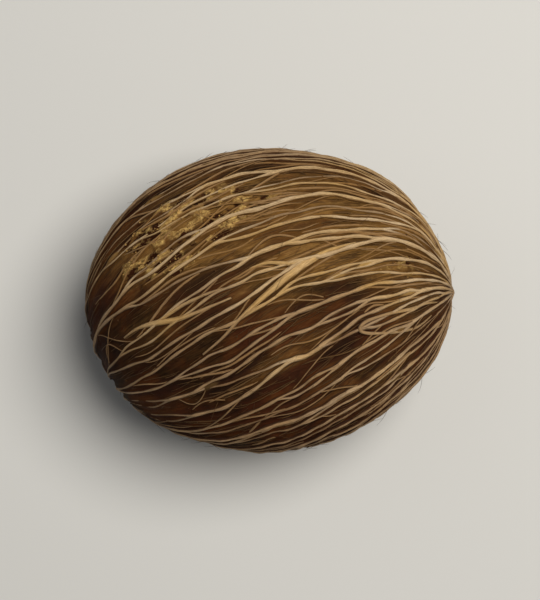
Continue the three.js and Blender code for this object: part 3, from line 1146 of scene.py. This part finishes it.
def side_fibre(gap):
    """The reach and turn of a stretch of a gap, and how low and thick a fibre is there."""
    steps = min(len(gap), int(looks.integers(*SIDE_STEPS)))
    first = int(looks.integers(0, len(gap) - steps + 1))
    reach, left, right = gap[first:first + steps].T
    t = np.linspace(0, 1, steps)
    turn = left + (right - left) * share_across(t)
    ends = eased(np.clip(t, 0.01, 0.99))
    size = looks.uniform(*SIDE_GIRTH) * (SIDE_END_GIRTH + (1 - SIDE_END_GIRTH) * ends)
    size = size * fade(WIDTH_AT_ENDS, reach)
    drop = looks.uniform(*SIDE_DROP) + SIDE_ENDS_SINK * (1 - ends)
    return reach, turn, -drop * fade(HEIGHT_AT_ENDS, reach) - FIBRE_HALF_HEIGHT * size, size


side_lines, side_strands = [], []
for gap in gaps:
    if len(gap) <= SIDE_STEPS[0]:
        continue
    widest = ((gap[:, 2] - gap[:, 1]) * per_radian(gap[:, 0], gap[:, 1])).max()
    middle = egg_point(gap[len(gap) // 2, 0], gap[len(gap) // 2, 1:].mean())
    busy = looks.uniform(*BUSY) * (BUSY_DARK + BUSY_WARM * warm_at(middle[None])[0])
    room = len(gap) / POINTS_FOR_ONE * widest / GAP_FOR_ONE
    for _ in range(int(room * busy + looks.random() * ONE_MORE)):
        reach, turn, lift, size = side_fibre(gap)
        side_lines.append(np.stack([reach, turn], -1))
        side_strands.append(strand_on_skin(reach, turn, lift, size, tone_at(reach, turn)))
side_source = make_lines("side fibre lines", side_strands)
side_fibres = grow_plain(side_source, sweeping_tree, "pod_side_fibres", half_width=FIBRE_HALF_WIDTH * MM,
                         half_height=FIBRE_HALF_HEIGHT * MM, sides=6, lobes=2.0, lobe_depth=0.05,
                         roughness=0.15 * MM, seed=5.0, material=side_finish)
print("side fibres:", len(side_strands))

# %% [markdown]
# ## The husk between them
#
# The husk could be a smooth egg with a painted bump, but its valleys are what makes the net
# stand out, so they are real. A fine skin is laid over the egg, and a tree sinks each of its
# points by a depth that falls off near the closest fibre. The same tree adds streaks, builds up
# the golden pith and drills the small pits in it.

# %% A fine skin in rows from end to end
ROWS = 206
AROUND = 460
MM_PER_TURN = 28.0
HOLLOW_REACH = 0.09


def flow_at(reach, turn):
    """Coordinates that run with the fibres: two go round the pod, the third goes along it."""
    around = MM_PER_TURN * np.cos(turn), MM_PER_TURN * np.sin(turn)
    return np.stack([*around, MM_PER_REACH * np.asarray(reach)], -1)


def make_skin():
    reach = np.linspace(0, math.pi, ROWS + 2)[1:-1]
    turn = np.linspace(0, TURN, AROUND, endpoint=False)
    grid_reach, grid_turn = (side.ravel() for side in np.meshgrid(reach, turn, indexing="ij"))
    grid_reach = np.append(grid_reach, [0, math.pi])
    grid_turn = np.append(grid_turn, [0, 0])
    number = np.arange(ROWS * AROUND).reshape(ROWS, AROUND)
    after_it = np.roll(number, -1, axis=1)
    quads = np.stack([number[:-1], after_it[:-1], after_it[1:], number[1:]], -1).reshape(-1, 4)
    stem, tip = ROWS * AROUND, ROWS * AROUND + 1
    caps = [(stem, after_it[0, i], number[0, i]) for i in range(AROUND)]
    caps += [(tip, number[-1, i], after_it[-1, i]) for i in range(AROUND)]
    hollow = STEM_HOLLOW * np.exp(-((grid_reach / HOLLOW_REACH) ** 2))
    points = skin_point(grid_reach, grid_turn, -hollow)
    mesh = bpy.data.meshes.new("husk skin")
    mesh.from_pydata(to_frame(points), [], quads.tolist() + caps)
    leave(mesh, "flow", flow_at(grid_reach, grid_turn))
    leave(mesh, "fade", fade(HEIGHT_AT_ENDS, grid_reach))
    leave(mesh, "warm", warm_at(points))
    leave(mesh, "pith", pith_at(points))
    return new_object("husk skin", mesh)


husk_skin = make_skin()
print("husk skin:", len(husk_skin.data.polygons), "faces")

# %% [markdown]
# ## Sinking the valleys
#
# The depth of a valley depends on how far the closest fibre is, and a Geometry Proximity node
# measures just that. Near a fibre the husk climbs towards it in a soft foot; between fibres it
# lies at full depth, with fine raised streaks that run the same way as the fibres.

# %% The valley tree
husk_sizes = [
    ("Fibre lines", "Object", None),
    ("Web places", "Object", None),
    ("Web reach", "Float", 1.3),
    ("Web rise", "Float", 0.8),
    ("Depth", "Float", 0.001),
    ("Foot reach", "Float", 0.0007),
    ("Foot rise", "Float", 0.5),
    ("Streak height", "Float", 0.0001),
    ("Pith height", "Float", 0.0003),
    ("Pit depth", "Float", 0.0003),
    ("Material", "Material", None),
]
WEBS = 0.35
WEB_STRETCH = (1.0, 1.0, 0.26)
STREAK_STRETCH = (1.0, 1.0, 0.09)
VALLEY_DEPTH = 1.15


def nearest_to(tree, target, element, *pairs):
    """How far it is to the closest edge or point of another object."""
    other = add(tree, "GeometryNodeObjectInfo", ("Object", target), transform_space="RELATIVE")
    return add(tree, "GeometryNodeProximity", ("Target", other["Geometry"]), *pairs,
               target_element=element)["Distance"]


def make_valley_tree():
    tree, size = new_tree("sink the valleys", husk_sizes)
    flow, pith = named(tree, "flow", "FLOAT_VECTOR"), named(tree, "pith")
    share = nearest_to(tree, size["Fibre lines"], "EDGES") / size["Foot reach"]
    foot = (share * share * -1.0).maths("EXPONENT")
    crotch = nearest_to(tree, size["Web places"], "POINTS", ("Source Position", flow.stretched(WEB_STRETCH)))
    web = (crotch / size["Web reach"]).spread(1.0, 0.2)
    streak = flow.stretched(STREAK_STRETCH).noise(1.15, 3.0, 0.65)
    ridge = 1.0 - (streak - 0.5).maths("ABSOLUTE").maths("MULTIPLY", 9.0, clamp=True)
    lump, pit = crumbled(flow)
    kept = lump * pith.spread(0.15, 0.7)
    pit = pit * pith.spread(0.1, 0.4)

    raised = (foot * size["Foot rise"]).maths("MAXIMUM", web * size["Web rise"])
    lift = size["Depth"] * (raised - 1.0) * named(tree, "fade")
    lift = lift + ridge * size["Streak height"] + kept * size["Pith height"] - pit * size["Pit depth"]
    result = size["Geometry"]
    # A wire is worked out anew at each use. So the shift, which comes last, finds the kept lumps
    # in "pith", and so does all that reads it later.
    for name, value in (("foot", foot), ("web", web), ("pith", kept)):
        result = keep(tree, result, name, value)
    result = move(tree, result, "Offset", add(tree, "GeometryNodeInputNormal").scaled(lift))
    end_tree(tree, result, size["Material"])
    return tree


# %% What the valley tree measures to, and the husk
def make_skin_lines():
    """The fibres' lines on the egg itself."""
    strands = []
    for line in fibre_lines + side_lines:
        strands.append(strand_on_skin(line[:, 0], line[:, 1], 0, np.ones(len(line)), 0.0))
    return make_lines("lines on the skin", strands)


def make_web_places():
    """A point for each web, in the coordinates that run with the fibres."""
    chosen = [place for place in web_places if looks.random() < WEBS]
    reach, turn = np.array(chosen).T
    mesh = bpy.data.meshes.new("web places")
    mesh.from_pydata(flow_at(reach, turn) * WEB_STRETCH, [], [])
    return new_object("web places", mesh)


skin_lines = make_skin_lines()
web_points = make_web_places()
husk = grow_plain(husk_skin, make_valley_tree(), "pod_husk", fibre_lines=skin_lines, web_places=web_points,
                  web_reach=0.95, web_rise=0.8, depth=VALLEY_DEPTH * MM, foot_reach=0.7 * MM, foot_rise=0.5,
                  streak_height=0.16 * MM, pith_height=0.32 * MM, pit_depth=0.4 * MM, material=husk_finish)

# %% [markdown]
# ## Fine threads in the valleys
#
# Between the main fibres lie many finer ones. They follow the same flow but cross it at small
# angles, come out from under one fibre and go in under the next. They use the sweeping tree
# again, with thinner sizes; only their lines are made by a rule of their own.

# %% Lines of the threads
THREADS = 1700
THREAD_REACHES = (-0.97, 0.99)
THREAD_LENGTH, THREAD_STEP = (5.0, 20.0), 1.1
THREAD_GIRTH, THREAD_END_GIRTH, THREAD_POLE_GIRTH = (0.5, 1.6), 0.35, 0.6
ALONG, SLANTS, SHORTENED_OVER = 0.98, (0.08, 0.25), 0.4
THREAD_ROOT, THREAD_RISE, RISE_BY_SLANT = -1.0, (0.1, 0.5), (0.5, 1.2)
THREAD_BEND, BENDS_PER_MM = 0.35, 0.4
CLEAR_OF_TIP = 0.1
LUSH = (-0.5, 0.6)


def thread_line(reach, turn, length, slant, girth, rise):
    """A strand on the skin from a start, with its ends sunk and its middle raised."""
    t = np.linspace(0, 1, max(5, int(length / THREAD_STEP)))
    reaches_here = reach + t * length * math.cos(slant) / MM_PER_REACH
    inside = reaches_here < math.pi - CLEAR_OF_TIP
    reaches_here, t = reaches_here[inside], t[inside]
    bend = THREAD_BEND * np.sin(t * length * BENDS_PER_MM + looks.random() * TURN)
    turns_here = turn + (t * length * math.sin(slant) + bend) / per_radian(reaches_here, turn)
    shape = eased(t)
    lift = (THREAD_ROOT + rise * shape) * fade(HEIGHT_AT_ENDS, reaches_here)
    size = girth * (THREAD_END_GIRTH + (1 - THREAD_END_GIRTH) * shape) * fade(THREAD_POLE_GIRTH, reaches_here)
    return strand_on_skin(reaches_here, turns_here, lift, size, looks.random())


def make_threads():
    strands = []
    for _ in range(THREADS):
        reach = math.acos(looks.uniform(*THREAD_REACHES))
        slant = looks.normal(0, SLANTS[0] if looks.random() < ALONG else SLANTS[1])
        length = looks.uniform(*THREAD_LENGTH) * (0.5 if abs(slant) > SHORTENED_OVER else 1.0)
        girth = np.interp(looks.random() ** 2, (0, 1), THREAD_GIRTH)
        rise = looks.uniform(*THREAD_RISE) + min(RISE_BY_SLANT[0], RISE_BY_SLANT[1] * abs(slant))
        strand = thread_line(reach, looks.uniform(0, TURN), length, slant, girth, rise)
        lush = warm_at(strand[0]).mean() > looks.uniform(*LUSH)
        if lush and len(strand[0]) > 3:
            strands.append(strand)
    return strands


PLAIN_STRAND = dict(sides=4, lobes=0.0, lobe_depth=0.0, roughness=0.0, material=thread_finish)
thread_source = make_lines("thread lines", make_threads())
threads = grow_plain(thread_source, sweeping_tree, "pod_threads", half_width=0.11 * MM, half_height=0.11 * MM,
                     seed=3.0, **PLAIN_STRAND)

# %% [markdown]
# ## Crumbs of pith
#
# The pith between the fibres breaks up into crumbs, thickest in the golden patches. Crumbs
# are a matter of scattering: points are strewn over the husk, more where the pith is kept, and
# a small lump with few faces is set on each, turned and sized at random.

# %% The scattering tree
crumb_sizes = [
    ("Everywhere", "Float", 10000.0),
    ("In pith", "Float", 4000000.0),
    ("Smallest", "Float", 0.0001),
    ("Largest", "Float", 0.0003),
    ("Seed", "Int", 5),
    ("Material", "Material", None),
]


def make_scattering_tree():
    tree, size = new_tree("strew crumbs", crumb_sizes)
    density = named(tree, "pith").maths("MULTIPLY_ADD", size["In pith"], size["Everywhere"])
    strewn = add(tree, "GeometryNodeDistributePointsOnFaces", ("Mesh", size["Geometry"]),
                 ("Density", density), ("Seed", size["Seed"]))
    lump = add(tree, "GeometryNodeMeshUVSphere", ("Segments", 7), ("Rings", 5), ("Radius", 1.0))
    where = add(tree, "GeometryNodeInputPosition")
    lump = move(tree, lump, "Position", where.scaled(where.noise(1.1, 2.0) * 1.6 + 0.2))
    turned = add(tree, "FunctionNodeRandomValue", ("Max", (TURN, TURN, TURN)), ("Seed", size["Seed"]),
                 data_type="FLOAT_VECTOR")
    share = add(tree, "FunctionNodeRandomValue", ("Seed", 11), data_type="FLOAT")[1].maths("POWER", 2.5)
    radius = add(tree, "ShaderNodeMapRange", (0, share), (3, size["Smallest"]), (4, size["Largest"]))
    rotation = add(tree, "FunctionNodeEulerToRotation", ("Euler", turned))
    set_down = add(tree, "GeometryNodeInstanceOnPoints", ("Points", strewn), ("Instance", lump),
                   ("Rotation", rotation), ("Scale", radius))
    end_tree(tree, set_down, size["Material"])
    return tree


# %% Pith finish, and the crumbs
PITH_DULL, PITH_PALE = srgb(96, 64, 30), srgb(196, 154, 88)
PITH_SPECK, LONE_CRUMB = srgb(60, 36, 16), srgb(74, 48, 24)


def make_pith_finish():
    material, tree, shader = new_material("crumbled pith", roughness=0.85)
    place = use_group(tree, weather, ("Size", 0.004))
    colour = blend(place["Patch"], PITH_DULL, PITH_PALE)
    colour = blend(place["Speck"] * 0.6, colour, PITH_SPECK)
    colour = blend(read(tree, "pith").spread(0.0, 0.3), LONE_CRUMB, colour)
    show(shader, colour, place["Speck"], depth=0.08 * MM, strength=0.7)
    return material


crumbs = grow_plain(husk, make_scattering_tree(), "pod_pith", everywhere=30000.0, in_pith=2600000.0,
                    smallest=0.05 * MM, largest=0.26 * MM, material=make_pith_finish())

# %% [markdown]
# ## Fuzz
#
# Broken hairs stand off the fibres all over a dry pod. They show best at the outline. Each is a
# short strand that leaves the skin at a low angle, so the sweeping tree makes them as well.

# %% Lines of the fuzz
HAIRS = 700
HAIR_LENGTH = (1.2, 5.0)
HAIR_REACHES = (-0.98, 0.98)
HAIR_POINTS, HAIR_ROOT, HAIR_TAPER = 7, -0.9, 0.75
HEADINGS, BACKWARDS = 0.5, 0.35
HAIR_BOW, HAIR_RISE, HAIR_DROOP = 0.25, (0.25, 0.75), 0.45


def hair_line():
    """A broken hair as a strand: a bowed path off the skin, thinner towards its end."""
    length = looks.uniform(*HAIR_LENGTH)
    reach = math.acos(looks.uniform(*HAIR_REACHES))
    turn = looks.uniform(0, TURN)
    heading = looks.normal(0, HEADINGS) + (math.pi if looks.random() < BACKWARDS else 0)
    t = np.linspace(0, 1, HAIR_POINTS)[:, None]
    skin = egg_normal(egg_point(reach, turn))
    forward = egg_point(reach + 0.01, turn) - egg_point(reach - 0.01, turn)
    forward = forward / np.linalg.norm(forward)
    side = np.cross(skin, forward)
    way = forward * math.cos(heading) + side * math.sin(heading)
    bow = side * looks.normal(0, HAIR_BOW)
    rise = looks.uniform(*HAIR_RISE)
    path = length * (t * way + t**2 * bow + rise * (t - HAIR_DROOP * t**2) * skin)
    start = skin_point(reach, turn, HAIR_ROOT)
    return start + path, np.tile(skin, (HAIR_POINTS, 1)), 1.0 - HAIR_TAPER * t[:, 0], looks.random()


hair_source = make_lines("hair lines", [hair_line() for _ in range(HAIRS)])
fuzz = grow_plain(hair_source, sweeping_tree, "pod_fuzz", half_width=0.055 * MM, half_height=0.055 * MM,
                  seed=9.0, **PLAIN_STRAND)

# %% [markdown]
# ## Keeping to the solid's box
#
# The net, the husk and the rest are made by rules that know nothing of the box or of the
# surface under the pod. Where the pod rests, its own weight has flattened it. Cutting it off at
# the surface would lay fibres and husk in one plane, so the heights there are squeezed together
# instead: a fibre still stands over the husk by a hair. Then everything is held to the box.

# %% Press flat what rests, and hold all to the box
EDGE = 0.01 * MM
SQUEEZED_BELOW = 0.6 * MM
LOWEST = -REST_DEPTH * MM


def squeezed(height):
    """Heights near the rest plane, brought close together over it and kept in order."""
    least = math.exp(LOWEST / SQUEEZED_BELOW - 1)
    low = (np.exp(np.maximum(height, LOWEST) / SQUEEZED_BELOW - 1) - least) / (1 - least)
    return np.where(height < SQUEEZED_BELOW, SQUEEZED_BELOW * low, height)


def hold_to_box(piece):
    mesh = piece.data
    flat = np.empty(len(mesh.vertices) * 3, np.float32)
    mesh.vertices.foreach_get("co", flat)
    points = flat.reshape(-1, 3)
    pressed = np.stack([points[:, 0], points[:, 1], squeezed(points[:, 2])], -1)
    held = np.clip(pressed, pod_low + (EDGE, EDGE, 0), pod_high - EDGE).astype(np.float32)
    moved = np.abs(held - points).max() / MM
    mesh.vertices.foreach_set("co", held.ravel())
    mesh.update()
    print(f"{piece.name}: moved at most {moved:.2f} mm")


pieces = [husk, fibres, side_fibres, threads, crumbs, fuzz]
for piece in pieces:
    hold_to_box(piece)
for source in (fibre_source, side_source, thread_source, hair_source, skin_lines, web_points, husk_skin):
    bpy.data.objects.remove(source)

# %% Tell the frame what stands for what
for piece in pieces:
    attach(piece, "root")
    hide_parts("pod")

# %% [markdown]
# ## Floor, light and camera
#
# The pod lies on a plain pale floor. A large soft light from the upper right gives the valleys
# their shade, and a weaker one from the left keeps them readable. The camera looks straight
# down on the pod, rolled a little, so that the pod's long way rises to the right.

# %% The floor
FLOOR_SIDE = 3.0


def make_floor():
    half = FLOOR_SIDE / 2
    corners = [(-half, -half, 0), (half, -half, 0), (half, half, 0), (-half, half, 0)]
    mesh = bpy.data.meshes.new("floor")
    mesh.from_pydata(corners, [], [(0, 1, 2, 3)])
    material, _, shader = new_material("pale floor", roughness=0.9)
    shader.inputs["Base Color"].default_value = srgb(208, 207, 203)
    mesh.materials.append(material)
    return new_object("floor", mesh)


make_floor()


# %% The lights
def make_light(name, place, size, power, colour=(1, 1, 1)):
    lamp = bpy.data.lights.new(name, "AREA")
    lamp.shape = "DISK"
    lamp.size = size
    lamp.energy = power
    lamp.color = colour
    holder = new_object(name, lamp)
    holder.location = place
    holder.rotation_euler = (-holder.location).to_track_quat("-Z", "Y").to_euler()


make_light("key", (0.24, 0.12, 0.63), 0.42, 5.0, (1.0, 0.97, 0.92))
make_light("fill", (-0.4, 0.2, 0.5), 0.5, 0.25, (0.93, 0.96, 1.0))
world = bpy.data.worlds.new("studio")
bpy.context.scene.world = world
world.use_nodes = True
sky = world.node_tree.nodes["Background"].inputs
sky["Color"].default_value = (0.95, 0.97, 1.0, 1.0)
sky["Strength"].default_value = 0.09
bpy.context.scene.view_settings.view_transform = "Standard"

# %% The camera
LENS = 100.0
ROLL = math.radians(5.15)
LONG_SIDE_SHOWN = 0.122


def make_camera():
    camera = bpy.data.cameras.new("camera")
    camera.lens = LENS
    holder = new_object("camera", camera)
    distance = LONG_SIDE_SHOWN * LENS / camera.sensor_width
    holder.location = (0, 0, float(pod_high[2]) / 2 + distance)
    holder.rotation_euler = (0, 0, -ROLL)
    bpy.context.scene.camera = holder
    print("camera height, m:", round(holder.location.z, 3))


make_camera()
